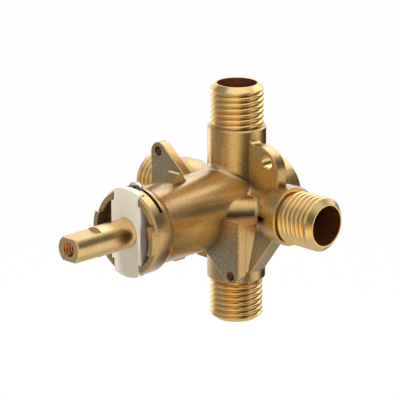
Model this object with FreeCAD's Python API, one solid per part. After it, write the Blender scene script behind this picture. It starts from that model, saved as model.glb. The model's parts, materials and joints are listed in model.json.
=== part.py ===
import FreeCAD
import Part
import math
import os

# Pressure balancing shower valve. Millimetres. The origin is where the axes of the four ports cross.
# The stem points to -Y, the hot inlet to -X, the cold inlet to +X, the shower to +Z and the tub to -Z.

# Threaded ends
port_reach = 48.5
thread_radius = 10.67
thread_length = 17.0
thread_relief_width = 1.0
thread_relief_depth = 1.0
thread_bevel_length = 1.9
thread_end_rim = 0.6
socket_radius = 8.0
socket_depth = 15.0
socket_stop = 0.4
pipe_radius = 11.75
neck_radius = 10.2
inlet_collar_radius = 11.85
inlet_collar_start = 25.0
neck_flare_length = 5.0
shoulder_chamfer = 0.6
inlet_end_wall = 4.5

# Barrel and collar
barrel_radius = 15.4
rear_end_y = 22.6
rear_edge_chamfer = 0.9
rim_face_y = -60.75
collar_radius = 17.2
collar_length = 7.0
collar_shoulder_length = 4.0
collar_chamfer = 0.8
collar_bore_step = 1.0
collar_bore_depth = 12.0
main_bore_radius = 12.5
rear_wall = 4.1
rim_tab_height = 1.9
rim_tab_half_width = 5.8

# Cast rounding
outlet_fillet = 2.5
inlet_fillet = 2.0
blend_sink = 0.05
edge_round = 0.5

# Inlet galleries, slanted from the inlets to the bore
gallery_radius = 6.6
gallery_start_x = 20.7
gallery_end_x = 9.4
gallery_end_y = -18.9
gallery_bore_radius = 3.6

# Trim screw ears, lower right and by half a turn upper left
trim_ear_face_y = -24.0
trim_ear_thickness = 4.5
trim_hole_x = 20.04
trim_hole_z = -21.47
trim_hole_radius = 1.75
trim_tip_radius = 4.3
trim_tip_inset = 0.9
trim_ear_root_angle = 68.0
shelf_top_z = 0.7
shelf_thickness = 2.0
shelf_side_length = 10.7
shelf_slant_length = 3.4
shelf_slant_width = 3.7
side_rib_thickness = 2.0
side_rib_inset = 1.0
side_rib_length = 7.0
side_rib_tip_length = 2.0

# Diagonal web between the cold inlet and the tub outlet
web_half_thickness = 4.0
web_side_x = 24.0
web_foot_z = -27.0

# Rear fixing lugs, upper right and by half a turn lower left
lug_face_y = -4.2
lug_thickness = 5.2
lug_reach = 26.2
lug_hole_side_inset = 5.7
lug_hole_top_inset = 5.5
lug_hole_radius = 2.7
lug_corner_radius = 10.0
lug_root_radius = 2.8
lug_top_straight = 1.0

# Casting stub on top of the barrel, and its twin below that is ground down
stub_half_width = 2.8
stub_height = 3.5
stub_crown_height = 0.76
ground_stub_height = 0.9
stub_centre_y = -34.7
stub_base_length = 8.4
stub_crown_length = 3.0

# Cartridge shell with its front plate
shell_clearance = 0.2
plate_proud = 0.25
plate_thickness = 3.1
plate_ear_half_width = 6.5
plate_ear_radius = 17.6
plate_half_width = 7.95
plate_half_height = 11.6
notch_clearance = 0.25
notch_side_gap = 0.8
flange_behind_clip = 2.1
front_wall_past_step = 1.75
shell_wall = 2.5
shell_end_gap = 0.3

# Seals between the shell and the body
o_ring_section = 1.3
o_ring_groove_ratio = 1.3
seal_gap = 0.02
middle_o_ring_inset = 8.75
rear_o_ring_inset = 5.7
inlet_seal_thickness = 1.3
inlet_seal_half_length = 7.6
inlet_seal_half_width = 6.4

# Windows of the shell
inlet_window_half_length = 2.1
inlet_window_half_width = 3.6
inlet_window_offset = 2.6
outlet_window_radius = 6.0

# Retaining clip
clip_behind_rim = 5.25
clip_thickness = 1.0
clip_width = 1.6
clip_clearance = 0.15
clip_groove_depth = 1.2
clip_slot_width = 1.6
clip_slot_floor_z = 9.8
clip_leg_length = 21.7
clip_bend_radius = 1.2
clip_loop_radius = 4.05
clip_loop_top_z = 19.2

# Stem
stem_reach = 29.7
stem_radius = 5.9
stem_chamfer = 0.5
stem_clearance = 0.06
flat_half_height = 4.5
flat_length = 13.7
stem_screw_radius = 2.5
stem_screw_depth = 14.0
stem_o_ring_section = 1.5
stem_o_ring_inset = 2.4
stem_o_ring_spacing = 3.1
washer_thickness = 0.8
washer_width = 2.2
face_gap = 0.05
stem_flange_length = 2.8
spigot_radius = 4.5
spigot_past_hub = 1.4

# Turning stop between the stem's lug and the rib in the shell
turn_range = 270.0
stop_lug_angle = 30.0
stop_lug_height = 1.9
stop_play = 1.0
stop_clearance = 0.3

# Control sleeve and drive pin. Slot angles are measured from the cold inlet towards the shower outlet.
sleeve_clearance = 0.06
sleeve_wall = 2.2
sleeve_front_gap = 0.6
sleeve_hub_length = 7.0
sleeve_seat_gap = 0.03
cold_slot_start = -200.0
cold_slot_angle = 160.0
hot_slot_start = -90.0
hot_slot_angle = 150.0
outlet_slot_count = 4
outlet_slot_half_width = 2.8
outlet_slot_half_length = 5.0
drive_pin_radius = 1.25
drive_pin_inset = 0.5

# Pressure balance cylinder and spool
cylinder_front_gap = 2.0
cylinder_rear_gap = 4.0
cylinder_wall = 2.3
cylinder_front_wall = 2.5
cylinder_o_ring_section = 1.2
cylinder_o_ring_inset = 2.2
cylinder_hole_radius = 1.6
cylinder_hole_count = 6
plug_length = 3.5
plug_ring_thickness = 0.8
plug_ring_width = 1.6
spool_clearance = 0.05
spool_travel = 2.5
spool_end_play = 0.5
spool_waist_depth = 1.75
spool_land_length = 5.0
spool_hole_radius = 1.6

# Rear retainer
retainer_length = 5.2
retainer_gap = 0.4
retainer_hole_radius = 5.0

# Margin by which a cutting tool reaches past what it cuts
overcut = 1.0

# Share of a radius along each axis at 45 degrees, and the least sine between axes that cross
diagonal = math.sqrt(0.5)
crossing_sine = 0.1

# Places that follow from the sizes above
shoulder = port_reach - thread_length
thread_start = shoulder + thread_relief_width
thread_end = port_reach - thread_bevel_length
passage_radius = socket_radius - socket_stop
lug_hole_x = lug_reach - lug_hole_side_inset
lug_hole_z = lug_reach - lug_hole_top_inset
collar_bore_radius = main_bore_radius + collar_bore_step
collar_back_y = rim_face_y + collar_length
barrel_front_y = collar_back_y + collar_shoulder_length
collar_step_y = rim_face_y + collar_bore_depth
bore_end_y = rear_end_y - rear_wall
plate_face_y = rim_face_y - plate_proud
plate_back_y = plate_face_y + plate_thickness
plate_seat_y = plate_back_y + notch_clearance
plate_corner_radius = math.hypot(plate_half_width, plate_half_height)
clip_y = rim_face_y + clip_behind_rim
flange_front_y = clip_y + flange_behind_clip
flange_radius = collar_bore_radius - shell_clearance
shell_radius = main_bore_radius - shell_clearance
shell_rear_y = bore_end_y - shell_end_gap
cavity_radius = shell_radius - shell_wall
front_wall_back_y = collar_step_y + front_wall_past_step
front_o_ring_y = (flange_front_y + collar_step_y) / 2
middle_o_ring_y = collar_step_y + middle_o_ring_inset
rear_o_ring_y = shell_rear_y - rear_o_ring_inset
gallery_mouth_share = (gallery_start_x - main_bore_radius) / (gallery_start_x - gallery_end_x)
gallery_mouth_y = gallery_end_y * gallery_mouth_share
cold_window_y = gallery_mouth_y - inlet_window_offset
hot_window_y = gallery_mouth_y + inlet_window_offset
stem_end_y = plate_face_y - stem_reach
stem_bore_radius = stem_radius + stem_clearance
rear_stem_o_ring_y = front_wall_back_y - stem_o_ring_inset
front_stem_o_ring_y = rear_stem_o_ring_y - stem_o_ring_spacing
stem_flange_radius = cavity_radius - stop_clearance - stop_lug_height
washer_back_y = front_wall_back_y + washer_thickness
stem_flange_y = washer_back_y + face_gap
stem_flange_back_y = stem_flange_y + stem_flange_length
sleeve_front_y = stem_flange_back_y + sleeve_front_gap
sleeve_hub_back_y = sleeve_front_y + sleeve_hub_length
sleeve_rear_y = shell_rear_y - retainer_length - retainer_gap
sleeve_radius = cavity_radius - sleeve_clearance
sleeve_bore_radius = sleeve_radius - sleeve_wall
spigot_end_y = sleeve_hub_back_y + spigot_past_hub
drive_pin_y = (sleeve_front_y + sleeve_hub_back_y) / 2
drive_pin_half_length = sleeve_radius - drive_pin_inset
cylinder_front_y = spigot_end_y + cylinder_front_gap
cylinder_rear_y = sleeve_rear_y - cylinder_rear_gap
cylinder_radius = sleeve_bore_radius - sleeve_seat_gap
cylinder_bore_radius = cylinder_radius - cylinder_wall
plug_ring_y = cylinder_rear_y - plug_ring_thickness
plug_front_y = plug_ring_y - plug_length
front_cylinder_o_ring_y = cylinder_front_y + cylinder_o_ring_inset
rear_cylinder_o_ring_y = cylinder_rear_y - cylinder_o_ring_inset
chamber_front_y = cylinder_front_y + cylinder_front_wall
spool_radius = cylinder_bore_radius - spool_clearance
spool_waist_radius = spool_radius - spool_waist_depth
spool_front_y = chamber_front_y + spool_travel + spool_end_play
spool_rear_y = plug_front_y - spool_travel - spool_end_play


def vec(x, y, z):
    return FreeCAD.Vector(x, y, z)


def line(start, end):
    return Part.LineSegment(start, end).toShape()


def arc(start, middle, end):
    return Part.Arc(start, middle, end).toShape()


def polygon_face(points):
    return Part.Face(Part.makePolygon(points + points[:1]))


def block(low, high):
    size = vec(*high).sub(vec(*low))
    return Part.makeBox(size.x, size.y, size.z, vec(*low))


def rod_y(radius, front_y, back_y):
    return Part.makeCylinder(radius, back_y - front_y, vec(0, front_y, 0), vec(0, 1, 0))


def tube_y(outer_radius, inner_radius, front_y, back_y):
    return rod_y(outer_radius, front_y, back_y).cut(rod_y(inner_radius, front_y, back_y))


def turned_y(profile):
    """Full revolve about the Y axis of a closed profile of (y, radius) points."""
    face = polygon_face([vec(radius, y, 0) for y, radius in profile])
    return face.revolve(vec(0, 0, 0), vec(0, 1, 0), 360)


def turned_z(profile):
    """Full revolve about the Z axis of a closed profile of (z, radius) points."""
    face = polygon_face([vec(radius, 0, z) for z, radius in profile])
    return face.revolve(vec(0, 0, 0), vec(0, 0, 1), 360)


def plate_from_outline(edges, front_y, back_y):
    """Plate between two y values from a closed outline drawn in the plane y = 0."""
    plate = Part.Face(Part.Wire(edges)).extrude(vec(0, back_y - front_y, 0))
    plate.translate(vec(0, front_y, 0))
    return plate


def sector_y(radius, front_y, back_y, start_angle, sweep):
    """Pie slice about the Y axis. Angles run from +X towards +Z."""
    piece = Part.makeCylinder(radius, back_y - front_y, vec(0, 0, 0), vec(0, 0, 1), sweep)
    piece.rotate(vec(0, 0, 0), vec(0, 0, 1), start_angle)
    piece.rotate(vec(0, 0, 0), vec(1, 0, 0), 90)
    piece.translate(vec(0, back_y, 0))
    return piece


def half_turn(shape):
    """Copy turned by half a turn about the Y axis, as the casting repeats itself."""
    copy = shape.copy()
    copy.rotate(vec(0, 0, 0), vec(0, 1, 0), 180)
    return copy


def with_half_turns(shapes):
    return shapes + [half_turn(shape) for shape in shapes]


def junction_edges(shape):
    """Edges along which two round forms with crossing axes meet."""
    found = []
    for edge in shape.Edges:
        surfaces = [face.Surface for face in shape.ancestorsOfType(edge, Part.Face)]
        round_forms = [s for s in surfaces if isinstance(s, (Part.Cylinder, Part.Cone))]
        if len(round_forms) == 2 and round_forms[0].Axis.cross(round_forms[1].Axis).Length > crossing_sine:
            found.append(edge)
    return found


def softened(plate):
    """Plate across the Y axis with the edges of its two faces rounded."""
    rims = [edge for edge in plate.Edges if edge.BoundBox.YLength < edge_round]
    return plate.makeFillet(edge_round, rims)


def o_ring(outer_radius, section, y):
    return Part.makeTorus(outer_radius - section / 2, section / 2, vec(0, y, 0), vec(0, 1, 0))


def o_ring_groove(outer_radius, section, y):
    half_width = section * o_ring_groove_ratio / 2
    return tube_y(outer_radius + overcut, outer_radius - section - face_gap, y - half_width, y + half_width)


def threaded_end(root_profile):
    """Pipe along +Z: the cast root, its shoulder, a relief and the plain cylinder that carries the thread."""
    root_radius = root_profile[-1][1]
    relief_radius = thread_radius - thread_relief_depth
    return turned_z(
        [(0, 0)]
        + root_profile
        + [
            (shoulder - shoulder_chamfer, root_radius),
            (shoulder, root_radius - shoulder_chamfer),
            (shoulder, relief_radius),
            (thread_start, relief_radius),
            (thread_start, thread_radius),
            (thread_end, thread_radius),
            (port_reach, socket_radius + thread_end_rim),
            (port_reach, 0),
        ]
    )


def outlet_pipe():
    return threaded_end([(0, pipe_radius)])


def inlet_pipe():
    pipe = threaded_end(
        [
            (0, neck_radius),
            (inlet_collar_start - neck_flare_length, neck_radius),
            (inlet_collar_start, inlet_collar_radius),
        ]
    )
    pipe.rotate(vec(0, 0, 0), vec(0, 1, 0), 90)
    return pipe


def barrel():
    return turned_y(
        [
            (rim_face_y, 0),
            (rim_face_y, collar_radius - collar_chamfer),
            (rim_face_y + collar_chamfer, collar_radius),
            (collar_back_y, collar_radius),
            (barrel_front_y, barrel_radius),
            (rear_end_y - rear_edge_chamfer, barrel_radius),
            (rear_end_y, barrel_radius - rear_edge_chamfer),
            (rear_end_y, 0),
        ]
    )


def gallery(radius):
    """Slanted round form from the cold inlet to the barrel, with ball ends."""
    start = vec(gallery_start_x, 0, 0)
    end = vec(gallery_end_x, gallery_end_y, 0)
    run = end.sub(start)
    body = Part.makeCylinder(radius, run.Length, start, run)
    return body.fuse([Part.makeSphere(radius, start), Part.makeSphere(radius, end)])


def trim_ear():
    """Ear plate with a round tip, a shelf back to the inlet and a side rib between the two."""
    tip = vec(trim_hole_x, 0, trim_hole_z + trim_tip_inset)
    root_angle = math.radians(-trim_ear_root_angle)
    root = vec(barrel_radius * math.cos(root_angle), 0, barrel_radius * math.sin(root_angle))
    to_root = root.sub(tip)
    touch_angle = math.atan2(to_root.z, to_root.x) + math.acos(trim_tip_radius / to_root.Length) - 2 * math.pi

    def on_tip(angle):
        return tip.add(vec(trim_tip_radius * math.cos(angle), 0, trim_tip_radius * math.sin(angle)))

    side_x = trim_hole_x + trim_tip_radius
    corner = vec(side_x, 0, shelf_top_z)
    axis_high = vec(0, 0, shelf_top_z)
    axis_low = vec(0, 0, root.z)
    outline = [
        line(axis_high, corner),
        line(corner, on_tip(0)),
        arc(on_tip(0), on_tip(touch_angle / 2), on_tip(touch_angle)),
        line(on_tip(touch_angle), root),
        line(root, axis_low),
        line(axis_low, axis_high),
    ]
    back_y = trim_ear_face_y + trim_ear_thickness
    plate = softened(plate_from_outline(outline, trim_ear_face_y, back_y))

    shelf_z = shelf_top_z - shelf_thickness
    shelf_back_y = trim_ear_face_y + shelf_side_length
    slant_y = shelf_back_y + shelf_slant_length
    shelf = polygon_face(
        [
            vec(0, trim_ear_face_y, shelf_z),
            vec(side_x, trim_ear_face_y, shelf_z),
            vec(side_x, shelf_back_y, shelf_z),
            vec(side_x - shelf_slant_width, slant_y, shelf_z),
            vec(0, slant_y, shelf_z),
        ]
    ).extrude(vec(0, 0, shelf_thickness))

    rib_x = side_x - side_rib_inset - side_rib_thickness
    rib_front_y = back_y - edge_round
    rib = polygon_face(
        [
            vec(rib_x, rib_front_y, shelf_z),
            vec(rib_x, back_y + side_rib_length, shelf_z),
            vec(rib_x, back_y + side_rib_tip_length, tip.z),
            vec(rib_x, rib_front_y, tip.z),
        ]
    ).extrude(vec(side_rib_thickness, 0, 0))
    return plate.fuse([shelf, rib])


def web():
    """Web across the corner between the cold inlet and the tub outlet."""
    face = polygon_face(
        [
            vec(0, -web_half_thickness, 0),
            vec(web_side_x, -web_half_thickness, 0),
            vec(web_side_x, -web_half_thickness, -neck_radius),
            vec(pipe_radius, -web_half_thickness, web_foot_z),
            vec(0, -web_half_thickness, web_foot_z),
        ]
    )
    return softened(face.extrude(vec(0, 2 * web_half_thickness, 0)))


def lug():
    """Fixing lug across the corner between the cold inlet and the shower outlet."""
    # On the lug's front face the pipe is a little narrower than on its axis.
    root_x = math.sqrt(pipe_radius**2 - lug_face_y**2)
    top_length = lug_reach - root_x - lug_root_radius
    corner_radius = min(lug_corner_radius, top_length - lug_top_straight)
    corner = lug_reach - corner_radius
    lean = corner + corner_radius * diagonal
    root_z = lug_reach + lug_root_radius
    root_bend = lug_root_radius * (1 - diagonal)
    outline = [
        line(vec(0, 0, 0), vec(lug_reach, 0, 0)),
        line(vec(lug_reach, 0, 0), vec(lug_reach, 0, corner)),
        arc(vec(lug_reach, 0, corner), vec(lean, 0, lean), vec(corner, 0, lug_reach)),
        line(vec(corner, 0, lug_reach), vec(root_x + lug_root_radius, 0, lug_reach)),
        arc(
            vec(root_x + lug_root_radius, 0, lug_reach),
            vec(root_x + root_bend, 0, lug_reach + root_bend),
            vec(root_x, 0, root_z),
        ),
        line(vec(root_x, 0, root_z), vec(0, 0, root_z)),
        line(vec(0, 0, root_z), vec(0, 0, 0)),
    ]
    return softened(plate_from_outline(outline, lug_face_y, lug_face_y + lug_thickness))


def casting_stub():
    """Stub across the top of the barrel, with sloped ends and a round crown."""
    foot_z = barrel_radius - overcut
    crown_z = barrel_radius + stub_height
    slope_end_z = crown_z - stub_crown_height
    front_foot = vec(-stub_half_width, stub_centre_y - stub_base_length / 2, foot_z)
    rear_foot = vec(-stub_half_width, stub_centre_y + stub_base_length / 2, foot_z)
    front_slope_end = vec(-stub_half_width, stub_centre_y - stub_crown_length / 2, slope_end_z)
    rear_slope_end = vec(-stub_half_width, stub_centre_y + stub_crown_length / 2, slope_end_z)
    outline = [
        line(front_foot, front_slope_end),
        arc(front_slope_end, vec(-stub_half_width, stub_centre_y, crown_z), rear_slope_end),
        line(rear_slope_end, rear_foot),
        line(rear_foot, front_foot),
    ]
    return Part.Face(Part.Wire(outline)).extrude(vec(2 * stub_half_width, 0, 0))


def ground_stub():
    """The like stub under the barrel, ground off close to it."""
    kept = block(
        (-stub_half_width, stub_centre_y - stub_base_length, 0),
        (stub_half_width, stub_centre_y + stub_base_length, barrel_radius + ground_stub_height),
    )
    return half_turn(casting_stub().common(kept))


def rim_tabs():
    tab_face_y = rim_face_y - rim_tab_height
    ring = rod_y(collar_radius - collar_chamfer, tab_face_y, rim_face_y)
    band = block(
        (-collar_radius, tab_face_y, -rim_tab_half_width),
        (collar_radius, rim_face_y, rim_tab_half_width),
    )
    return ring.common(band)


def filleted(shape, radius):
    joined = shape.removeSplitter()
    return joined.makeFillet(radius, junction_edges(joined))


def valve_body():
    # The inlets' blends run out just under the barrel's skin, so that the two filleted cores join cleanly.
    outlet_core = filleted(barrel().fuse(with_half_turns([outlet_pipe()])), outlet_fillet)
    inlet_base = rod_y(barrel_radius - blend_sink, barrel_front_y, rear_end_y - rear_edge_chamfer - overcut)
    inlet_forms = with_half_turns([inlet_pipe(), gallery(gallery_radius)])
    inlet_core = filleted(inlet_base.fuse(inlet_forms), inlet_fillet)
    flanges = with_half_turns([trim_ear(), lug()]) + [web()]
    casting = outlet_core.fuse([inlet_core, rim_tabs(), casting_stub(), ground_stub()] + flanges)

    mouth_y = rim_face_y - rim_tab_height - overcut
    notch_half_width = plate_ear_half_width + notch_side_gap
    collar_cuts = [
        rod_y(main_bore_radius, mouth_y, bore_end_y),
        rod_y(collar_bore_radius, mouth_y, collar_step_y),
        rod_y(plate_corner_radius + notch_clearance, mouth_y, plate_seat_y),
        block(
            (-notch_half_width, mouth_y, -plate_ear_radius - overcut),
            (notch_half_width, plate_seat_y, plate_ear_radius + overcut),
        ),
        block(
            (-collar_radius - overcut, clip_y - clip_slot_width / 2, clip_slot_floor_z),
            (collar_radius + overcut, clip_y + clip_slot_width / 2, collar_radius + overcut),
        ),
    ]
    inlet_bore_x = main_bore_radius + inlet_end_wall
    inlet_bore_length = port_reach + overcut - inlet_bore_x
    socket_start = port_reach - socket_depth
    socket_length = socket_depth + overcut
    trim_hole_base = vec(trim_hole_x, trim_ear_face_y - overcut, trim_hole_z)
    lug_hole_base = vec(lug_hole_x, lug_face_y - overcut, lug_hole_z)
    paired_cuts = [
        Part.makeCylinder(passage_radius, port_reach + overcut),
        Part.makeCylinder(passage_radius, inlet_bore_length, vec(inlet_bore_x, 0, 0), vec(1, 0, 0)),
        Part.makeCylinder(socket_radius, socket_length, vec(0, 0, socket_start)),
        Part.makeCylinder(socket_radius, socket_length, vec(socket_start, 0, 0), vec(1, 0, 0)),
        gallery(gallery_bore_radius),
        Part.makeCylinder(trim_hole_radius, trim_ear_thickness + 2 * overcut, trim_hole_base, vec(0, 1, 0)),
        Part.makeCylinder(lug_hole_radius, lug_thickness + 2 * overcut, lug_hole_base, vec(0, 1, 0)),
    ]
    return casting.cut(collar_cuts + with_half_turns(paired_cuts)).removeSplitter()


def inlet_bar(centre_y, half_length, half_width):
    """Bar from the axis out through the cold side of the bore."""
    return block(
        (0, centre_y - half_length, -half_width),
        (main_bore_radius + overcut, centre_y + half_length, half_width),
    )


def stop_rib():
    """Rib in the shell that the stem's lug meets at both ends of its turn."""
    rib_angle = 360 - turn_range - stop_lug_angle - 2 * stop_play
    rib_start = -90 - stop_lug_angle / 2 - stop_play - rib_angle
    rib_radius = cavity_radius + shell_wall / 2
    rib = sector_y(rib_radius, stem_flange_y, stem_flange_back_y, rib_start, rib_angle)
    return rib.cut(rod_y(stem_flange_radius + stop_clearance, stem_flange_y, stem_flange_back_y))


def cartridge_shell():
    """One moulding: front plate with two ears, neck for the clip, flange, long tube with windows."""
    neck = block(
        (-plate_half_width, plate_back_y, -plate_half_height),
        (plate_half_width, flange_front_y, plate_half_height),
    ).common(rod_y(flange_radius, plate_back_y, flange_front_y))
    plate = block(
        (-plate_half_width, plate_face_y, -plate_half_height),
        (plate_half_width, plate_back_y, plate_half_height),
    )
    ears = block(
        (-plate_ear_half_width, plate_face_y, -plate_ear_radius),
        (plate_ear_half_width, plate_back_y, plate_ear_radius),
    ).common(rod_y(plate_ear_radius, plate_face_y, plate_back_y))
    shell = neck.fuse(
        [
            plate,
            ears,
            rod_y(flange_radius, flange_front_y, collar_step_y),
            rod_y(shell_radius, collar_step_y, shell_rear_y),
        ]
    )
    groove_half = clip_thickness / 2 + clip_clearance
    # The neck is narrower from the plate to the back of the clip, which holds the shell in.
    clip_groove = block(
        (plate_half_width - clip_groove_depth, plate_back_y, -collar_bore_radius),
        (collar_bore_radius, clip_y + groove_half, collar_bore_radius),
    )
    seal_floor = rod_y(main_bore_radius - inlet_seal_thickness, cylinder_front_y, rear_end_y)
    seal_pocket = inlet_bar(
        gallery_mouth_y, inlet_seal_half_length + face_gap, inlet_seal_half_width + face_gap
    ).cut(seal_floor)
    paired_cuts = [clip_groove, seal_pocket, Part.makeCylinder(outlet_window_radius, main_bore_radius)]
    shell = shell.cut(
        with_half_turns(paired_cuts)
        + [
            rod_y(stem_bore_radius, plate_face_y, front_wall_back_y),
            rod_y(cavity_radius, front_wall_back_y, shell_rear_y),
            inlet_bar(cold_window_y, inlet_window_half_length, inlet_window_half_width),
            half_turn(inlet_bar(hot_window_y, inlet_window_half_length, inlet_window_half_width)),
            o_ring_groove(flange_radius, o_ring_section, front_o_ring_y),
            o_ring_groove(shell_radius, o_ring_section, middle_o_ring_y),
            o_ring_groove(shell_radius, o_ring_section, rear_o_ring_y),
        ]
    )
    return shell.fuse(stop_rib()).removeSplitter()


def inlet_seal(window_y):
    """Curved rubber pad in the shell's pocket on the cold side, with a window."""
    pad = tube_y(
        main_bore_radius - seal_gap,
        main_bore_radius - inlet_seal_thickness + face_gap,
        gallery_mouth_y - inlet_seal_half_length,
        gallery_mouth_y + inlet_seal_half_length,
    ).common(inlet_bar(gallery_mouth_y, inlet_seal_half_length, inlet_seal_half_width))
    return pad.cut(inlet_bar(window_y, inlet_window_half_length, inlet_window_half_width))


def retaining_clip():
    """Flat strip bent in its own plane: two legs, two shoulders and a half-round pull loop."""
    leg_x = plate_half_width - clip_groove_depth + clip_clearance + clip_width / 2
    loop_x = clip_loop_radius - clip_width / 2
    loop_z = clip_loop_top_z - clip_loop_radius
    shoulder_z = loop_z - clip_bend_radius
    leg_top_z = shoulder_z - clip_bend_radius
    leg_end_z = leg_top_z - clip_leg_length
    bend = clip_bend_radius * (1 - diagonal)

    def side(sign):
        foot = vec(sign * leg_x, 0, leg_end_z)
        leg_top = vec(sign * leg_x, 0, leg_top_z)
        outer_bend = vec(sign * (leg_x - bend), 0, shoulder_z - bend)
        shoulder_out = vec(sign * (leg_x - clip_bend_radius), 0, shoulder_z)
        shoulder_in = vec(sign * (loop_x + clip_bend_radius), 0, shoulder_z)
        inner_bend = vec(sign * (loop_x + bend), 0, shoulder_z + bend)
        loop_foot = vec(sign * loop_x, 0, loop_z)
        return [
            line(foot, leg_top),
            arc(leg_top, outer_bend, shoulder_out),
            line(shoulder_out, shoulder_in),
            arc(shoulder_in, inner_bend, loop_foot),
        ]

    loop = arc(vec(-loop_x, 0, loop_z), vec(0, 0, loop_z + loop_x), vec(loop_x, 0, loop_z))
    centre_line = Part.Wire(Part.sortEdges(side(-1) + [loop] + side(1))[0])
    strip = Part.Face(centre_line.makeOffset2D(clip_width / 2)).extrude(vec(0, clip_thickness, 0))
    strip.translate(vec(0, clip_y - clip_thickness / 2, 0))
    return strip


def stem():
    """Turned stem with two flats, a screw hole, two o-ring grooves, a flange with a stop lug and a spigot."""
    bar = turned_y(
        [
            (stem_end_y, 0),
            (stem_end_y, stem_radius - stem_chamfer),
            (stem_end_y + stem_chamfer, stem_radius),
            (stem_flange_y, stem_radius),
            (stem_flange_y, stem_flange_radius),
            (stem_flange_back_y, stem_flange_radius),
            (stem_flange_back_y, spigot_radius),
            (spigot_end_y, spigot_radius),
            (spigot_end_y, 0),
        ]
    )
    lug_radius = cavity_radius - stop_clearance
    lug_start = -90 - stop_lug_angle / 2
    stop_lug = sector_y(lug_radius, stem_flange_y, stem_flange_back_y, lug_start, stop_lug_angle)
    flat = block(
        (-stem_radius, stem_end_y, flat_half_height),
        (stem_radius, stem_end_y + flat_length, stem_radius),
    )
    groove_radius = stem_bore_radius - seal_gap
    cuts = with_half_turns([flat]) + [
        rod_y(stem_screw_radius, stem_end_y, stem_end_y + stem_screw_depth),
        o_ring_groove(groove_radius, stem_o_ring_section, front_stem_o_ring_y),
        o_ring_groove(groove_radius, stem_o_ring_section, rear_stem_o_ring_y),
        pin_rod(drive_pin_radius + sleeve_seat_gap),
    ]
    return bar.fuse(stop_lug).cut(cuts).removeSplitter()


def pin_rod(radius):
    return Part.makeCylinder(
        radius, 2 * drive_pin_half_length, vec(-drive_pin_half_length, drive_pin_y, 0), vec(1, 0, 0)
    )


def thrust_washer():
    return tube_y(
        stem_bore_radius + washer_width, stem_bore_radius, front_wall_back_y, washer_back_y
    )


def control_sleeve():
    """Sleeve with a hub on the stem's spigot, metering slots for hot and cold and outlet slots."""
    sleeve = rod_y(sleeve_radius, sleeve_front_y, sleeve_rear_y)

    def metering_slot(window_y, start_angle, sweep):
        front_y = window_y - inlet_window_half_length
        back_y = window_y + inlet_window_half_length
        return sector_y(sleeve_radius + overcut, front_y, back_y, start_angle, sweep)

    cuts = [
        rod_y(spigot_radius + sleeve_seat_gap, sleeve_front_y, sleeve_hub_back_y),
        rod_y(sleeve_bore_radius, sleeve_hub_back_y, sleeve_rear_y),
        pin_rod(drive_pin_radius + sleeve_seat_gap),
        metering_slot(cold_window_y, cold_slot_start, cold_slot_angle),
        metering_slot(hot_window_y, hot_slot_start, hot_slot_angle),
    ]
    for index in range(outlet_slot_count):
        slot = block(
            (0, -outlet_slot_half_length, -outlet_slot_half_width),
            (sleeve_radius + overcut, outlet_slot_half_length, outlet_slot_half_width),
        )
        slot.rotate(vec(0, 0, 0), vec(0, 1, 0), (index + 0.5) * 360 / outlet_slot_count)
        cuts.append(slot)
    return sleeve.cut(cuts)


def balance_cylinder():
    """Liner that is closed in front, with rings of holes for cold, hot and mixed water."""
    liner = rod_y(cylinder_radius, cylinder_front_y, cylinder_rear_y)
    cuts = [
        rod_y(cylinder_bore_radius, chamber_front_y, cylinder_rear_y),
        o_ring_groove(cylinder_radius, cylinder_o_ring_section, front_cylinder_o_ring_y),
        o_ring_groove(cylinder_radius, cylinder_o_ring_section, rear_cylinder_o_ring_y),
    ]
    for hole_y in (cold_window_y, hot_window_y, 0):
        for index in range(cylinder_hole_count):
            hole_length = cylinder_radius + overcut
            hole = Part.makeCylinder(cylinder_hole_radius, hole_length, vec(0, hole_y, 0), vec(1, 0, 0))
            hole.rotate(vec(0, 0, 0), vec(0, 1, 0), index * 360 / cylinder_hole_count)
            cuts.append(hole)
    return liner.cut(cuts)


def balance_spool():
    """Hollow spool with three lands."""
    middle_y = (spool_front_y + spool_rear_y) / 2
    profile = [(spool_front_y, 0), (spool_front_y, spool_radius)]
    profile += [
        (spool_front_y + spool_land_length, spool_radius),
        (spool_front_y + spool_land_length, spool_waist_radius),
        (middle_y - spool_land_length / 2, spool_waist_radius),
        (middle_y - spool_land_length / 2, spool_radius),
        (middle_y + spool_land_length / 2, spool_radius),
        (middle_y + spool_land_length / 2, spool_waist_radius),
        (spool_rear_y - spool_land_length, spool_waist_radius),
        (spool_rear_y - spool_land_length, spool_radius),
    ]
    profile += [(spool_rear_y, spool_radius), (spool_rear_y, 0)]
    return turned_y(profile).cut(rod_y(spool_hole_radius, spool_front_y, spool_rear_y))


def cylinder_plug():
    return rod_y(cylinder_bore_radius - sleeve_seat_gap, plug_front_y, plug_ring_y)


def plug_retaining_ring():
    outer_radius = cylinder_bore_radius - sleeve_seat_gap
    return tube_y(outer_radius, outer_radius - plug_ring_width, plug_ring_y, cylinder_rear_y)


def rear_retainer():
    return tube_y(
        cavity_radius - sleeve_seat_gap, retainer_hole_radius, shell_rear_y - retainer_length, shell_rear_y
    )


def drive_pin():
    return pin_rod(drive_pin_radius)


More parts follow.
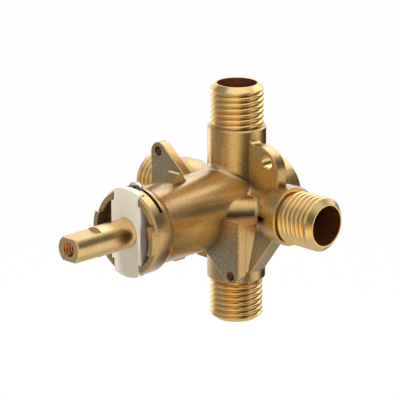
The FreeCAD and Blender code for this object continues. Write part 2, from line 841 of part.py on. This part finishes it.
def main():
    body_seal_radius = main_bore_radius - seal_gap
    collar_seal_radius = collar_bore_radius - seal_gap
    stem_seal_radius = stem_bore_radius - seal_gap
    nodes = {
        "valve_body": valve_body(),
        "retaining_clip": retaining_clip(),
        "cartridge_shell": cartridge_shell(),
        "front_shell_o_ring": o_ring(collar_seal_radius, o_ring_section, front_o_ring_y),
        "middle_shell_o_ring": o_ring(body_seal_radius, o_ring_section, middle_o_ring_y),
        "rear_shell_o_ring": o_ring(body_seal_radius, o_ring_section, rear_o_ring_y),
        "cold_inlet_seal": inlet_seal(cold_window_y),
        "hot_inlet_seal": half_turn(inlet_seal(hot_window_y)),
        "thrust_washer": thrust_washer(),
        "rear_retainer": rear_retainer(),
        "stem": stem(),
        "front_stem_o_ring": o_ring(stem_seal_radius, stem_o_ring_section, front_stem_o_ring_y),
        "rear_stem_o_ring": o_ring(stem_seal_radius, stem_o_ring_section, rear_stem_o_ring_y),
        "drive_pin": drive_pin(),
        "control_sleeve": control_sleeve(),
        "balance_cylinder": balance_cylinder(),
        "front_cylinder_o_ring": o_ring(cylinder_radius, cylinder_o_ring_section, front_cylinder_o_ring_y),
        "rear_cylinder_o_ring": o_ring(cylinder_radius, cylinder_o_ring_section, rear_cylinder_o_ring_y),
        "cylinder_plug": cylinder_plug(),
        "plug_retaining_ring": plug_retaining_ring(),
        "balance_spool": balance_spool(),
    }
    os.makedirs("parts", exist_ok=True)
    for name, shape in nodes.items():
        shape.exportStep("parts/" + name + ".step")
        print(name, shape.isValid(), len(shape.Solids), round(shape.Volume, 1))


main()
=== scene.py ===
import bmesh
import bpy
import json
import math
from mathutils import Matrix, Vector


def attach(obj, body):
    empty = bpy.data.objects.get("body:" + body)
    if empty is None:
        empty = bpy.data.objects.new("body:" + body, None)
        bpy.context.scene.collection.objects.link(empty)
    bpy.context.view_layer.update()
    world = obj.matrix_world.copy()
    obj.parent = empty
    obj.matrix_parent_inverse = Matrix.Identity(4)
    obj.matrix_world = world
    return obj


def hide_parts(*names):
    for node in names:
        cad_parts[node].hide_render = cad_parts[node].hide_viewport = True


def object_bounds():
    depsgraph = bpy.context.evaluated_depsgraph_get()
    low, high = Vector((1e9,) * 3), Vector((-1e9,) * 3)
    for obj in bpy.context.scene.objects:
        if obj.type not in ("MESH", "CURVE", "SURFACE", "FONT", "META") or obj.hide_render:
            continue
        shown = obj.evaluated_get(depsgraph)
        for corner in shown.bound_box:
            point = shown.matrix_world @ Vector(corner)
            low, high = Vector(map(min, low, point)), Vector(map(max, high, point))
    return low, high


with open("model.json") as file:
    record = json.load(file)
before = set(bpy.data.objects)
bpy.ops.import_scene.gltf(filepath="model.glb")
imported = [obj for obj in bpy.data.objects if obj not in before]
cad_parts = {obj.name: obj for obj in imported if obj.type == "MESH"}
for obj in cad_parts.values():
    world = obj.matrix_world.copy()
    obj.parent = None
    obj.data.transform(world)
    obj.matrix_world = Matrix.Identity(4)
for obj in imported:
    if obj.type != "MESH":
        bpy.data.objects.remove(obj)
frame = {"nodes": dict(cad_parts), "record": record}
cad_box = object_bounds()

# Pressure balancing shower valve. Metres, in the frame of the solids: stem to -Y, shower outlet to +Z.

nodes = frame["nodes"]
mounts = {mount["name"]: mount for mount in frame["record"]["mounts"]}
port_names = ("cold_inlet", "hot_inlet", "shower_outlet", "tub_outlet")
socket_names = ("cold_socket", "hot_socket", "shower_socket", "tub_socket")
towards_stem = Vector((0, -1, 0))
millimetre = 0.001

# Camera of the photograph
camera_azimuth = math.radians(44.793)
camera_elevation = math.radians(16.855)
camera_distance = 0.98328
camera_aim = Vector((-0.01035, -0.01025, 0.00012))
camera_lens = 221.43
camera_clip_start = 0.05

# Pipe threads
pipe_pitch = 2.28 * millimetre
pipe_thread_depth = 1.0 * millimetre
pipe_crest_gap = 0.03 * millimetre
die_margin = 1.2 * millimetre
die_overrun = 0.1 * millimetre
die_start_gap = 0.85 * millimetre
die_fade = 0.5 * millimetre
die_segments = 96

# Tapped holes in the ears and the stem
ear_hole_x = 20.04 * millimetre
ear_hole_z = -21.47 * millimetre
ear_thickness = 4.5 * millimetre
ear_pitch = 0.9 * millimetre
ear_thread_depth = 0.35 * millimetre
stem_pitch = 1.3 * millimetre
stem_thread_depth = 0.55 * millimetre
tap_clearance = 0.05 * millimetre
tap_overrun = 0.2 * millimetre
tap_segments = 32

# Profile of all threads
profile_samples = 10
spare_turns = 2
crest_roundness = 1.1

# Meshes: distances under which points are joined, and the angle from which an edge is sharp
tool_weld = 1e-8
node_weld = 1e-7
sharp_edge_angle = math.radians(32)

# Limits that tell the finishes of the casting apart, and where painted shade lies in its grooves, holes and
# collar
root_share = 0.62
relief_width = 1.05 * millimetre
lug_hole_x = 20.5 * millimetre
lug_hole_z = 20.7 * millimetre
rim_face_y = -60.75 * millimetre
collar_back_y = -53.75 * millimetre
collar_inside_radius = 16.9 * millimetre
finish_margin = 0.08 * millimetre
facing = 0.95

# Finishes: where noise turns dark and light, the speckle over the cast brass, and the painted shade in its
# hollows
noise_low = 0.3
noise_high = 0.7
edge_samples = 4
openness_samples = 8
white = (1.0, 1.0, 1.0, 1.0)
speckle_tint = (198, 188, 174)
speckle_range = (0.35, 0.65)
# Painted shade: dark brown laid over the cast brass in hollows and inner corners, within the reach below
hollow_shade_tint = (92, 62, 38)
hollow_shade_range = (0.3, 0.88)
hollow_shade_reach = 9 * millimetre

# Studio: the floor, the lamps, and what gloss sees around the object
floor_drop = 0.16
floor_half_size = 4.0
floor_tint = (245, 245, 245)
floor_roughness = 0.8
background_share = 0.97
background_rays = ("Is Camera Ray", "Is Transmission Ray")
gloss_rays = ("Is Glossy Ray",)
lamp_distance = 1.0
lamps = [
    # name, azimuth from the front to the right, elevation, size, power, whether gloss shows it
    ("key_lamp", -18, 63, 0.3, 10.8, False),
    ("side_lamp", 85, 22, 0.6, 9.0, False),
    ("rim_lamp", -165, 46, 0.9, 1.4, True),
    ("left_lamp", -92, -5, 0.5, 0.6, True),
]
ambient_colour = (0.36, 0.36, 0.36, 1.0)
surround_colour = (0.6, 0.6, 0.6, 1.0)
surround_fields = [
    # azimuth from the front to the right, elevation, angle of full colour, angle where it has faded, colour
    (-140, 26, 36, 62, white),
    (0, 90, 20, 45, white),
    (46, -18, 14, 34, (0.95, 0.84, 0.56, 1.0)),
    (96, -20, 12, 30, (0.25, 0.22, 0.16, 1.0)),
    (78, 8, 14, 38, (0.06, 0.055, 0.05, 1.0)),
    (140, 18, 12, 30, (0.1, 0.09, 0.08, 1.0)),
    (132, -20, 14, 30, (0.88, 0.83, 0.74, 1.0)),
    (178, -20, 18, 34, (0.03, 0.03, 0.03, 1.0)),
    (-30, -18, 18, 42, (0.3, 0.3, 0.3, 1.0)),
    (-65, 42, 15, 35, (0.25, 0.25, 0.25, 1.0)),
]


def mount_axis(mount):
    return Vector(mount["axis"]).normalized()


def mount_place(mount):
    return Vector(mount["pos_m"])


def mount_radius(mount):
    return mount["dims"]["r_mm"] * millimetre


def mount_length(mount):
    return mount["dims"]["length_mm"] * millimetre


def along_z(axis, place):
    """Turns +Z to an axis and moves the origin to a place."""
    turn = Vector((0, 0, 1)).rotation_difference(axis).to_matrix().to_4x4()
    return Matrix.Translation(place) @ turn


def placed_object(name, data):
    """New object in the scene with some data, such as a mesh or a lamp."""
    placed = bpy.data.objects.new(name, data)
    bpy.context.scene.collection.objects.link(placed)
    return placed


def helix_rows(length, pitch, segments):
    """Heights and phases of a thread's grid points: row by row along the helix, held within the length."""
    rows = math.ceil(length / pitch + spare_turns) * profile_samples
    columns = []
    for column in range(segments):
        rise = column / segments
        points = []
        for row in range(-profile_samples, rows):
            turn = row / profile_samples
            height = min(max((turn + rise) * pitch, 0.0), length)
            points.append((height, height / pitch - rise))
        columns.append(points)
    return columns


def groove(turn):
    """Depth share of a thread with round crests and sharp roots."""
    return 1.0 - abs(math.sin(math.pi * turn)) ** crest_roundness


def on_circle(mesh, radius, angle, height):
    return mesh.verts.new((radius * math.cos(angle), radius * math.sin(angle), height))


def thread_sheet(mesh, length, pitch, segments, radius_at, fade=0.0):
    """Helical sheet about Z from 0 to length, with a fade at its end if given. Returns its end rings."""
    grid = []
    for column, heights in enumerate(helix_rows(length, pitch, segments)):
        angle = 2 * math.pi * column / segments
        points = []
        for height, turn in heights:
            kept = min(1.0, (length - height) / fade) if fade else 1.0
            points.append(on_circle(mesh, radius_at(groove(turn) * kept), angle, height))
        grid.append(points)
    last_row = len(grid[0]) - 1
    for column, here in enumerate(grid):
        wrap = column == segments - 1
        there = grid[0] if wrap else grid[column + 1]
        shift = profile_samples if wrap else 0
        for row in range(last_row):
            far_low = min(row + shift, last_row)
            far_high = min(row + 1 + shift, last_row)
            corners = [here[row], there[far_low], there[far_high], here[row + 1]]
            unique = list(dict.fromkeys(corners))
            if len(unique) > 2:
                mesh.faces.new(unique)
    return [points[0] for points in grid], [points[-1] for points in grid]


def ring(mesh, radius, height, segments):
    return [on_circle(mesh, radius, 2 * math.pi * index / segments, height) for index in range(segments)]


def bridge(mesh, lower, upper):
    count = len(lower)
    for index in range(count):
        after = (index + 1) % count
        mesh.faces.new((lower[index], lower[after], upper[after], upper[index]))


def finished_tool(mesh, name, placing):
    bmesh.ops.remove_doubles(mesh, verts=mesh.verts, dist=tool_weld)
    bmesh.ops.dissolve_degenerate(mesh, edges=mesh.edges, dist=tool_weld)
    bmesh.ops.recalc_face_normals(mesh, faces=mesh.faces)
    data = bpy.data.meshes.new(name)
    mesh.to_mesh(data)
    mesh.free()
    data.transform(placing)
    return placed_object(name, data)


def pipe_die(mount):
    """Ring whose inside is the pipe thread: what it covers is cut off the plain end."""
    radius = mount_radius(mount) - pipe_crest_gap
    outer = mount_radius(mount) + die_margin
    length = mount_length(mount) + die_start_gap + die_overrun
    mesh = bmesh.new()

    def radius_at(depth_share):
        return radius - pipe_thread_depth * depth_share

    first, last = thread_sheet(mesh, length, pipe_pitch, die_segments, radius_at, die_fade)
    low = ring(mesh, outer, 0.0, die_segments)
    high = ring(mesh, outer, length, die_segments)
    bridge(mesh, first, low)
    bridge(mesh, low, high)
    bridge(mesh, high, last)
    start = mount_place(mount) - mount_axis(mount) * (mount_length(mount) / 2 + die_start_gap)
    return finished_tool(mesh, "die", along_z(mount_axis(mount), start))


def tap(place, axis, radius, length, pitch, depth):
    """Threaded rod that cuts its thread into the wall of a plain hole."""
    mesh = bmesh.new()
    core = radius - tap_clearance

    def radius_at(depth_share):
        return core + (depth + tap_clearance) * (1.0 - depth_share)

    first, last = thread_sheet(mesh, length, pitch, tap_segments, radius_at)
    mesh.faces.new(list(reversed(first)))
    mesh.faces.new(last)
    return finished_tool(mesh, "tap", along_z(axis, place))


def copy_of_node(node, name):
    """New piece with a node's mesh, its split edges joined again."""
    data = nodes[node].data.copy()
    data.name = name
    mesh = bmesh.new()
    mesh.from_mesh(data)
    bmesh.ops.remove_doubles(mesh, verts=mesh.verts, dist=node_weld)
    mesh.to_mesh(data)
    mesh.free()
    return placed_object(name, data)


def shade_by_angle(data):
    """Smooth shading with sharp edges, without the stale normals of the mesh before its cuts."""
    if "custom_normal" in data.attributes:
        data.attributes.remove(data.attributes["custom_normal"])
    data.shade_smooth()
    data.set_sharp_from_angle(angle=sharp_edge_angle)


def cut_with(piece, tools):
    """Cuts a piece with tools, which are used up."""
    for tool in tools:
        modifier = piece.modifiers.new("cut", "BOOLEAN")
        modifier.operation = "DIFFERENCE"
        modifier.solver = "EXACT"
        modifier.object = tool
    bpy.context.view_layer.update()
    evaluated = piece.evaluated_get(bpy.context.evaluated_depsgraph_get())
    data = bpy.data.meshes.new_from_object(evaluated)
    piece.modifiers.clear()
    data.name = piece.name
    piece.data = data
    shade_by_angle(data)
    for tool in tools:
        bpy.data.objects.remove(tool)


def srgb(red, green, blue):
    """Linear colour from 8-bit screen values, by the sRGB curve."""
    def linear(value):
        share = value / 255
        return share / 12.92 if share <= 0.04045 else ((share + 0.055) / 1.055) ** 2.4
    return (linear(red), linear(green), linear(blue), 1.0)


def feed(tree, source, socket):
    """Gives a socket a constant or the output of another node."""
    if isinstance(source, (float, tuple)):
        socket.default_value = source
    else:
        tree.links.new(source, socket)


def mixed(tree, share, first, second, mode="MIX"):
    """Mix of two colours by a share; each is a constant or comes from another node."""
    node = tree.nodes.new("ShaderNodeMix")
    node.data_type = "RGBA"
    node.blend_type = mode
    factor = [entry for entry in node.inputs if entry.name == "Factor" and entry.type == "VALUE"][0]
    colours = [entry for entry in node.inputs if entry.type == "RGBA"]
    for source, socket in zip((share, first, second), [factor] + colours):
        feed(tree, source, socket)
    return [entry for entry in node.outputs if entry.type == "RGBA"][0]


class Finish:
    """Procedural material in the object's own coordinates."""

    def __init__(self, name, metallic):
        self.material = bpy.data.materials.new(name)
        self.material.use_nodes = True
        self.tree = self.material.node_tree
        self.shader = self.tree.nodes["Principled BSDF"]
        self.shader.inputs["Metallic"].default_value = metallic
        self.place = self.tree.nodes.new("ShaderNodeTexCoord").outputs["Object"]

    def link(self, source, target):
        self.tree.links.new(source, target)

    def noise(self, scale, detail, stretch=None):
        node = self.tree.nodes.new("ShaderNodeTexNoise")
        node.inputs["Scale"].default_value = scale
        node.inputs["Detail"].default_value = detail
        place = self.place
        if stretch:
            mapping = self.tree.nodes.new("ShaderNodeMapping")
            mapping.inputs["Scale"].default_value = stretch
            self.link(place, mapping.inputs["Vector"])
            place = mapping.outputs["Vector"]
        self.link(place, node.inputs["Vector"])
        return node.outputs["Fac"]

    def ramp(self, value, dark, light, low=noise_low, high=noise_high):
        """Colour that goes from dark to light as a value goes from low to high."""
        node = self.tree.nodes.new("ShaderNodeValToRGB")
        stops = [(low, dark), (high, light)]
        for element, (position, colour) in zip(node.color_ramp.elements, stops):
            element.position = position
            element.color = colour
        self.link(value, node.inputs["Fac"])
        return node.outputs["Color"]

    def multiplied(self, share, first, second):
        return mixed(self.tree, share, first, second, "MULTIPLY")

    def spread(self, noise, low, high):
        """Number that goes from low to high as noise goes from dark to light."""
        node = self.tree.nodes.new("ShaderNodeMapRange")
        node.inputs["From Min"].default_value = noise_low
        node.inputs["From Max"].default_value = noise_high
        node.inputs["To Min"].default_value = low
        node.inputs["To Max"].default_value = high
        self.link(noise, node.inputs["Value"])
        return node.outputs["Result"]

    def bump(self, height, depth, strength, edge_radius=None):
        """Normals of a fine relief, on softened edges where they have a radius."""
        node = self.tree.nodes.new("ShaderNodeBump")
        node.inputs["Strength"].default_value = strength
        node.inputs["Distance"].default_value = depth
        self.link(height, node.inputs["Height"])
        if edge_radius:
            self.link(self.soft_edges(edge_radius), node.inputs["Normal"])
        return node.outputs["Normal"]

    def soft_edges(self, radius):
        node = self.tree.nodes.new("ShaderNodeBevel")
        node.samples = edge_samples
        node.inputs["Radius"].default_value = radius
        return node.outputs["Normal"]

    def openness(self, reach):
        """Share of open space above a surface, low in hollows and inner corners."""
        node = self.tree.nodes.new("ShaderNodeAmbientOcclusion")
        node.samples = openness_samples
        node.inputs["Distance"].default_value = reach
        return node.outputs["AO"]

    def set(self, **sockets):
        for name, value in sockets.items():
            feed(self.tree, value, self.shader.inputs[name.replace("_", " ")])
        return self.material


def cast_brass(name, dark, light, grain_scale, grain_depth, grain_share):
    """Cast brass with a speckle in its grain and painted shade in its hollows."""
    finish = Finish(name, metallic=1.0)
    cloud = finish.noise(scale=90.0, detail=3.0)
    grain = finish.noise(scale=grain_scale, detail=2.0)
    tint = finish.ramp(cloud, dark, light)
    speckle = finish.ramp(grain, srgb(*speckle_tint), white, *speckle_range)
    # Painted shade: the colour turns dark brown where little open space lies above the surface, in hollows
    # and inner corners
    hollow_shade = finish.ramp(finish.openness(hollow_shade_reach), srgb(*hollow_shade_tint), white, *hollow_shade_range)
    speckled = finish.multiplied(grain_share, tint, speckle)
    return finish.set(
        Base_Color=finish.multiplied(1.0, speckled, hollow_shade),
        Roughness=finish.spread(cloud, low=0.25, high=0.33),
        Coat_Weight=1.0,
        Coat_Roughness=0.26,
        Coat_IOR=1.85,
        Normal=finish.bump(grain, grain_depth, strength=0.7, edge_radius=0.3 * millimetre),
    )


def machined_brass(name, dark, light):
    finish = Finish(name, metallic=1.0)
    cloud = finish.noise(scale=160.0, detail=2.0)
    scratch = finish.noise(scale=900.0, detail=4.0)
    return finish.set(
        Base_Color=finish.ramp(cloud, dark, light),
        Roughness=finish.spread(scratch, low=0.18, high=0.26),
        Normal=finish.bump(scratch, 0.01 * millimetre, strength=0.5, edge_radius=0.12 * millimetre),
    )


def bore_brass(name, dark, light):
    finish = Finish(name, metallic=0.88)
    cloud = finish.noise(scale=200.0, detail=3.0)
    rings = finish.noise(scale=700.0, detail=2.0)
    return finish.set(
        Base_Color=finish.ramp(cloud, dark, light),
        Roughness=finish.spread(rings, low=0.3, high=0.42),
        Normal=finish.bump(rings, 0.02 * millimetre, strength=0.5),
    )


def turned_brass():
    finish = Finish("turned_brass", metallic=1.0)
    cloud = finish.noise(scale=140.0, detail=2.0)
    lines = finish.noise(scale=1.0, detail=2.0, stretch=(60.0, 6000.0, 60.0))
    return finish.set(
        Base_Color=finish.ramp(cloud, srgb(243, 207, 146), srgb(250, 219, 162)),
        Roughness=finish.spread(lines, low=0.25, high=0.33),
        Normal=finish.bump(lines, 0.002 * millimetre, strength=0.5, edge_radius=0.15 * millimetre),
    )


def beige_plastic():
    finish = Finish("beige_plastic", metallic=0.0)
    cloud = finish.noise(scale=70.0, detail=3.0)
    grain = finish.noise(scale=3200.0, detail=2.0)
    return finish.set(
        Base_Color=finish.ramp(cloud, srgb(210, 199, 178), srgb(217, 206, 186)),
        Roughness=finish.spread(grain, low=0.42, high=0.55),
        Normal=finish.bump(grain, 0.012 * millimetre, strength=0.6, edge_radius=0.2 * millimetre),
    )


def white_plastic():
    finish = Finish("white_plastic", metallic=0.0)
    cloud = finish.noise(scale=90.0, detail=3.0)
    grain = finish.noise(scale=2600.0, detail=2.0)
    return finish.set(
        Base_Color=finish.ramp(cloud, srgb(222, 221, 216), srgb(232, 231, 227)),
        Roughness=finish.spread(grain, low=0.35, high=0.48),
        Normal=finish.bump(grain, 0.01 * millimetre, strength=0.5),
    )


def steel(name, dark, light, least_roughness, most_roughness):
    finish = Finish(name, metallic=1.0)
    cloud = finish.noise(scale=250.0, detail=3.0)
    brushed = finish.noise(scale=1.0, detail=3.0, stretch=(4000.0, 300.0, 300.0))
    return finish.set(
        Base_Color=finish.ramp(cloud, dark, light),
        Roughness=finish.spread(brushed, least_roughness, most_roughness),
        Normal=finish.bump(brushed, 0.006 * millimetre, strength=0.5, edge_radius=0.15 * millimetre),
    )


def seal_rubber():
    finish = Finish("seal_rubber", metallic=0.0)
    grain = finish.noise(scale=1800.0, detail=3.0)
    return finish.set(
        Base_Color=finish.ramp(grain, srgb(24, 24, 25), srgb(38, 38, 40)),
        Roughness=finish.spread(grain, low=0.5, high=0.65),
        Normal=finish.bump(grain, 0.01 * millimetre, strength=0.5),
    )


# Finishes of the casting, with darker brass as painted shade in the thread roots, the relief groove, the
# ear holes and the collar
def body_finishes_and_shades():
    return {
        "cast": cast_brass(
            "cast_brass",
            srgb(230, 184, 102),
            srgb(242, 200, 122),
            grain_scale=1800.0,
            grain_depth=0.08 * millimetre,
            grain_share=0.65,
        ),
        "ear": cast_brass(
            "rough_cast_brass",
            srgb(208, 178, 126),
            srgb(222, 194, 146),
            grain_scale=1250.0,
            grain_depth=0.34 * millimetre,
            grain_share=1.0,
        ),
        "machined": machined_brass("machined_brass", srgb(248, 210, 140), srgb(254, 221, 156)),
        # Painted shade: the thread roots get darker brass than the crests
        "root": machined_brass("thread_root_shaded_brass", srgb(228, 182, 116), srgb(240, 196, 128)),
        # Painted shade: the relief groove at the start of each thread gets darker brass
        "relief": machined_brass("relief_shaded_brass", srgb(216, 170, 110), srgb(228, 184, 124)),
        # Painted shade: the tapped ear holes get dark brass so their insides look deep
        "tapped": machined_brass("tapped_hole_shaded_brass", srgb(112, 80, 50), srgb(136, 100, 64)),
        "bore": bore_brass("bore_brass", srgb(160, 94, 54), srgb(180, 112, 68)),
        # Painted shade: the walls and seats inside the collar get dark brass so they look deep
        "collar": bore_brass("collar_shaded_brass", srgb(122, 88, 58), srgb(142, 106, 74)),
    }


def slot_finishes():
    return {
        "turned_brass": turned_brass(),
        "beige_plastic": beige_plastic(),
        "white_plastic": white_plastic(),
        "spring_steel": steel(
            "spring_steel",
            srgb(226, 226, 227),
            srgb(242, 242, 242),
            least_roughness=0.1,
            most_roughness=0.22,
        ),
        "spool_steel": steel(
            "spool_steel",
            srgb(180, 181, 183),
            srgb(205, 205, 206),
            least_roughness=0.22,
            most_roughness=0.34,
        ),
        "seal_rubber": seal_rubber(),
    }


def ear_hole_radius():
    return mounts["trim_ears"]["dims"]["hole_r_mm"] * millimetre


def ear_holes():
    """Where the two tapped holes open in the ears' front faces."""
    face_y = mounts["trim_ears"]["pos_m"][1]
    return [Vector((side * ear_hole_x, face_y, side * ear_hole_z)) for side in (1, -1)]


def in_ear_hole(face):
    reach = ear_hole_radius() + ear_thread_depth + finish_margin
    offsets = [face.center - place for place in ear_holes()]
    return any(math.hypot(offset.x, offset.z) < reach and offset.y > finish_margin for offset in offsets)


def in_lug_hole(face):
    reach = mounts["wall_lugs"]["dims"]["hole_r_mm"] * millimetre + finish_margin
    offsets = [(face.center.x - side * lug_hole_x, face.center.z - side * lug_hole_z) for side in (1, -1)]
    return any(math.hypot(*offset) < reach for offset in offsets)


def in_bore(face, axis, radius):
    """Is a face on the wall of a hole about an axis through the origin, on the axis's side?"""
    along = face.center.dot(axis)
    off_axis = face.center - axis * along
    return along > 0 and off_axis.length < radius and face.normal.dot(off_axis) < 0


def in_collar(face):
    """Is a face on the walls or seats inside the collar that holds the cartridge?"""
    if in_bore(face, towards_stem, collar_inside_radius):
        return True
    off_axis = math.hypot(face.center.x, face.center.z)
    in_depth = rim_face_y + finish_margin < face.center.y < collar_back_y
    return in_depth and abs(face.normal.y) > facing and off_axis < collar_inside_radius


def body_finish(face):
    """Which finish or painted shade a face of the casting has, from its place and direction."""
    for port, socket in zip(port_names, socket_names):
        mount = mounts[port]
        axis = mount_axis(mount)
        along = face.center.dot(axis)
        bore_radius = mount_radius(mounts[socket]) + finish_margin
        if along > bore_radius and in_bore(face, axis, bore_radius):
            return "bore"
        thread_start = mount_place(mount).dot(axis) - mount_length(mount) / 2
        # Painted shade: the relief groove gets darker brass
        if abs(along - thread_start + relief_width / 2) < relief_width / 2:
            return "relief"
        if along > thread_start:
            # Painted shade: faces deep in a thread's groove get the darker root brass
            off_axis = face.center - axis * along
            in_root = off_axis.length < mount_radius(mount) - root_share * pipe_thread_depth
            in_thread = along < thread_start + mount_length(mount)
            return "root" if in_root and in_thread else "machined"
    # Painted shade: the walls of the tapped ear holes get dark brass
    if in_ear_hole(face):
        return "tapped"
    if in_lug_hole(face):
        return "machined"
    # Painted shade: faces inside the collar get dark brass
    if in_collar(face):
        return "collar"
    in_ear_plane = abs(face.center.y - mounts["trim_ears"]["pos_m"][1]) < finish_margin
    return "ear" if in_ear_plane and face.normal.y < -facing else "cast"


def dressed(piece, finishes, choose):
    """Gives each face of a piece the finish that a function chooses."""
    order = list(finishes)
    piece.data.materials.clear()
    for name in order:
        piece.data.materials.append(finishes[name])
    for face in piece.data.polygons:
        face.material_index = order.index(choose(face))


def threaded_body():
    body = copy_of_node("valve_body", "threaded_body")
    dies = [pipe_die(mounts[name]) for name in port_names]
    taps = []
    for place in ear_holes():
        start = place - towards_stem * (ear_thickness + tap_overrun)
        length = ear_thickness + 2 * tap_overrun
        taps.append(tap(start, towards_stem, ear_hole_radius(), length, ear_pitch, ear_thread_depth))
    cut_with(body, dies + taps)
    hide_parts("valve_body")
    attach(body, "valve")
    dressed(body, body_finishes_and_shades(), body_finish)


def threaded_stem(turned):
    piece = copy_of_node("stem", "threaded_stem")
    screw = mounts["handle_screw"]
    axis = mount_axis(screw)
    hole_radius = mount_radius(screw)
    length = mount_length(screw)
    start = mount_place(screw) - axis * (length / 2 - tap_overrun)
    cut_with(piece, [tap(start, axis, hole_radius, length, stem_pitch, stem_thread_depth)])
    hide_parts("stem")
    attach(piece, "stem_assembly")

    def stem_finish(face):
        in_hole = in_bore(face, axis, hole_radius + stem_thread_depth + finish_margin)
        return "tapped" if in_hole and face.center.dot(axis) > start.dot(axis) else "turned"

    tapped = machined_brass("tapped_stem_brass", srgb(196, 124, 76), srgb(214, 146, 96))
    dressed(piece, {"turned": turned, "tapped": tapped}, stem_finish)


def dress_nodes(finishes):
    """Gives each node the finish of its material slot, where the slot has one of its own."""
    for subpart in frame["record"]["subparts"]:
        slot = subpart["material_slot"]
        if slot in finishes:
            materials = nodes[subpart["node"]].data.materials
            materials.clear()
            materials.append(finishes[slot])


def mixed_shaders(tree, share, first, second):
    mix = tree.nodes.new("ShaderNodeMixShader")
    feed(tree, share, mix.inputs[0])
    tree.links.new(first, mix.inputs[1])
    tree.links.new(second, mix.inputs[2])
    return mix.outputs[0]


def seen_or_lit(tree, kinds, seen, lit):
    """One shader for the kinds of ray that are named and another for the rest."""
    path = tree.nodes.new("ShaderNodeLightPath")
    share = path.outputs[kinds[0]]
    for kind in kinds[1:]:
        either = tree.nodes.new("ShaderNodeMath")
        either.operation = "MAXIMUM"
        tree.links.new(share, either.inputs[0])
        tree.links.new(path.outputs[kind], either.inputs[1])
        share = either.outputs[0]
    return mixed_shaders(tree, share, lit, seen)


def towards(azimuth, elevation):
    """Direction by its turn from the front to the right and its rise over the horizon."""
    level = math.cos(elevation)
    return Vector((math.sin(azimuth) * level, -math.cos(azimuth) * level, math.sin(elevation)))


def background(tree, colour):
    node = tree.nodes.new("ShaderNodeBackground")
    feed(tree, colour, node.inputs["Color"])
    return node.outputs[0]


def surround(tree):
    """Colour of the pale and dark fields that stand around the object, by direction."""
    direction = tree.nodes.new("ShaderNodeTexCoord").outputs["Generated"]
    colour = surround_colour
    for azimuth, elevation, full_angle, faded_angle, field_colour in surround_fields:
        dot = tree.nodes.new("ShaderNodeVectorMath")
        dot.operation = "DOT_PRODUCT"
        dot.inputs[1].default_value = towards(math.radians(azimuth), math.radians(elevation))
        tree.links.new(direction, dot.inputs[0])
        share = tree.nodes.new("ShaderNodeMapRange")
        share.interpolation_type = "SMOOTHSTEP"
        share.inputs["From Min"].default_value = math.cos(math.radians(faded_angle))
        share.inputs["From Max"].default_value = math.cos(math.radians(full_angle))
        tree.links.new(dot.outputs["Value"], share.inputs["Value"])
        colour = mixed(tree, share.outputs["Result"], colour, field_colour)
    return colour


def studio_world():
    world = bpy.data.worlds.new("studio")
    world.use_nodes = True
    tree = world.node_tree
    tree.nodes.remove(tree.nodes["Background"])
    lit = background(tree, ambient_colour)
    gloss = seen_or_lit(tree, gloss_rays, background(tree, surround(tree)), lit)
    surface = seen_or_lit(tree, background_rays, background(tree, white), gloss)
    tree.links.new(surface, tree.nodes["World Output"].inputs["Surface"])
    bpy.context.scene.world = world


def floor_material():
    """Pale floor that looks nearly white to the camera and keeps a little of the object's shadow."""
    material = bpy.data.materials.new("studio_floor")
    material.use_nodes = True
    tree = material.node_tree
    pale = tree.nodes["Principled BSDF"]
    pale.inputs["Base Color"].default_value = srgb(*floor_tint)
    pale.inputs["Roughness"].default_value = floor_roughness
    glow = tree.nodes.new("ShaderNodeEmission")
    glow.inputs["Color"].default_value = white
    glow.inputs["Strength"].default_value = 1.0
    lit = pale.outputs[0]
    seen = mixed_shaders(tree, background_share, lit, glow.outputs[0])
    surface = seen_or_lit(tree, background_rays, seen, lit)
    tree.links.new(surface, tree.nodes["Material Output"].inputs["Surface"])
    return material


def studio_floor():
    mesh = bmesh.new()
    bmesh.ops.create_grid(mesh, x_segments=1, y_segments=1, size=floor_half_size)
    data = bpy.data.meshes.new("studio_floor")
    mesh.to_mesh(data)
    mesh.free()
    data.materials.append(floor_material())
    floor = placed_object("studio_floor", data)
    floor.location.z = cad_box[0][2] - floor_drop
    floor.visible_glossy = False


def soft_lamp(name, azimuth, elevation, size, power, in_gloss):
    """Round soft lamp aimed at the object."""
    data = bpy.data.lights.new(name, "AREA")
    data.shape = "DISK"
    data.size = size
    data.energy = power
    lamp = placed_object(name, data)
    direction = towards(math.radians(azimuth), math.radians(elevation))
    lamp.location = camera_aim + direction * lamp_distance
    lamp.rotation_euler = direction.to_track_quat("Z", "Y").to_euler()
    lamp.visible_glossy = in_gloss


def photo_camera():
    data = bpy.data.cameras.new("photo_camera")
    data.lens = camera_lens
    data.clip_start = camera_clip_start
    camera = placed_object("photo_camera", data)
    towards_camera = towards(camera_azimuth, camera_elevation)
    camera.location = camera_aim + towards_camera * camera_distance
    camera.rotation_euler = towards_camera.to_track_quat("Z", "Y").to_euler()
    bpy.context.scene.camera = camera


# The object
threaded_body()
finishes_by_slot = slot_finishes()
dress_nodes(finishes_by_slot)
threaded_stem(finishes_by_slot["turned_brass"])

# The studio
studio_world()
studio_floor()
for lamp_values in lamps:
    soft_lamp(*lamp_values)
photo_camera()
bpy.context.scene.view_settings.view_transform = "Standard"
